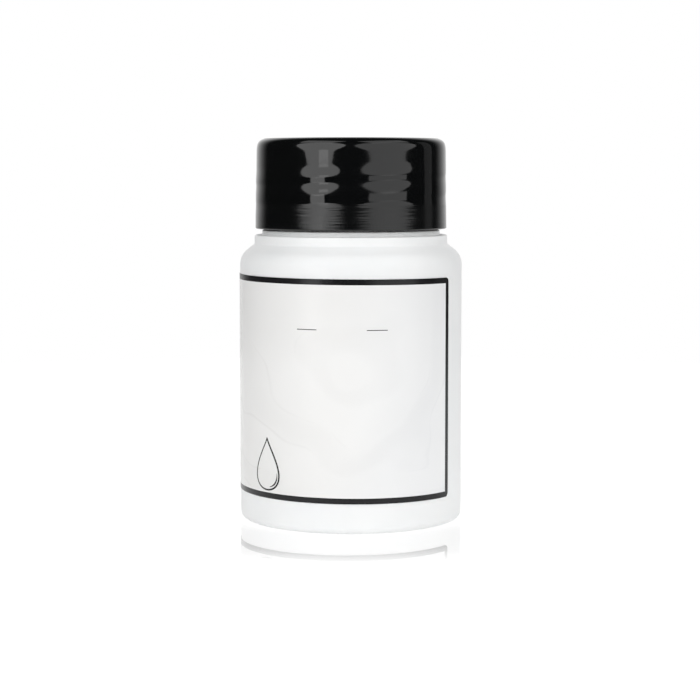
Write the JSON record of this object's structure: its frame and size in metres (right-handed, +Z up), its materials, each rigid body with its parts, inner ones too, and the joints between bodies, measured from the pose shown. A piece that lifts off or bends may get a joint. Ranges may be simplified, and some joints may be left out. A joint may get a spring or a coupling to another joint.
{
  "type": "nail polish remover jar",
  "caption": "Wide-mouth white jar with a black screw cap, a wrap-round label and a foam insert with a finger hole for dipping.",
  "frame": {"origin": "centre of the ring that the jar stands on, at the height of the surface under it", "axes": "+Z up along the jar's axis; the front of the label faces -Y and the gap between its ends faces +X"},
  "size_m": [0.0493, 0.0496, 0.0839],
  "materials": {
    "white_moulding": "satin moulded white",
    "printed_film": "semi-gloss printed film, pale marble pattern with a black border",
    "grey_foam": "open-cell foam",
    "black_gloss": "high gloss",
    "white_wad": "matt foamed wad"
  },
  "bodies": {
    "pot": {"pot": "white_moulding", "label": "printed_film", "sponge": "grey_foam"},
    "liner": {"cap_liner": "white_wad"},
    "cap": {"cap": "black_gloss"}
  },
  "joints": [
    {"name": "cap_lift", "type": "slide", "parent": "pot", "child": "liner", "axis": [0, 0, 1], "range_m": [0, 0.0212]},
    {"name": "cap_turn", "type": "hinge", "parent": "liner", "child": "cap", "pos_m": [0, 0, 0.0809], "axis": [0, 0, 1], "range_deg": [0, 1800]}
  ],
  "couplings": [
    {"joint": "cap_lift", "follows": "cap_turn", "m_per_rad": 0.00067375}
  ]
}
